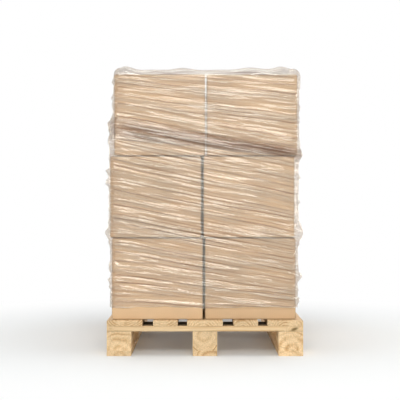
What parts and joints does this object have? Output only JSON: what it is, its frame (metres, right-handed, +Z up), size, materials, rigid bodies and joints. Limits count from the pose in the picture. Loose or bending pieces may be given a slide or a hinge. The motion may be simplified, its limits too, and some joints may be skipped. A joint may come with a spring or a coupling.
{
  "type": "shrink wrapped pallet load",
  "caption": "Loaded four-way block pallet: layers of plain corrugated cartons in a sleeve of clear stretch film, with a puffed rim, a folded top lip and a bare strip above the deck.",
  "frame": {"origin": "on the floor, in the middle of the pallet's footprint", "axes": "+Z up; +Y along the pallet's long side, away from the front short end; +X to the right across that end"},
  "size_m": [0.8083, 1.2, 1.1873],
  "materials": {
    "pine": "matte",
    "kraft_board": "matte",
    "stretch_film": "glossy"
  },
  "bodies": {
    "root": {"bottom_board_left": "pine", "bottom_board_centre": "pine", "bottom_board_right": "pine", "block_front_left": "pine", "block_front_centre": "pine", "block_front_right": "pine", "block_middle_left": "pine", "block_middle_centre": "pine", "block_middle_right": "pine", "block_rear_left": "pine", "block_rear_centre": "pine", "block_rear_right": "pine", "stringer_front": "pine", "stringer_middle": "pine", "stringer_rear": "pine", "deck_board_left_edge": "pine", "deck_board_left_narrow": "pine", "deck_board_centre": "pine", "deck_board_right_narrow": "pine", "deck_board_right_edge": "pine", "carton_bottom_row1_left": "kraft_board", "carton_bottom_row1_right": "kraft_board", "carton_bottom_row2_left": "kraft_board", "carton_bottom_row2_right": "kraft_board", "carton_bottom_row3_left": "kraft_board", "carton_bottom_row3_right": "kraft_board", "carton_bottom_row4_left": "kraft_board", "carton_bottom_row4_right": "kraft_board", "carton_middle_row1_left": "kraft_board", "carton_middle_row1_right": "kraft_board", "carton_middle_row2_left": "kraft_board", "carton_middle_row2_right": "kraft_board", "carton_middle_row3_left": "kraft_board", "carton_middle_row3_right": "kraft_board", "carton_middle_row4_left": "kraft_board", "carton_middle_row4_right": "kraft_board", "carton_top_row1_left": "kraft_board", "carton_top_row1_right": "kraft_board", "carton_top_row2_left": "kraft_board", "carton_top_row2_right": "kraft_board", "carton_top_row3_left": "kraft_board", "carton_top_row3_right": "kraft_board", "carton_top_row4_left": "kraft_board", "carton_top_row4_right": "kraft_board", "stretch_film": "stretch_film"}
  },
  "joints": []
}
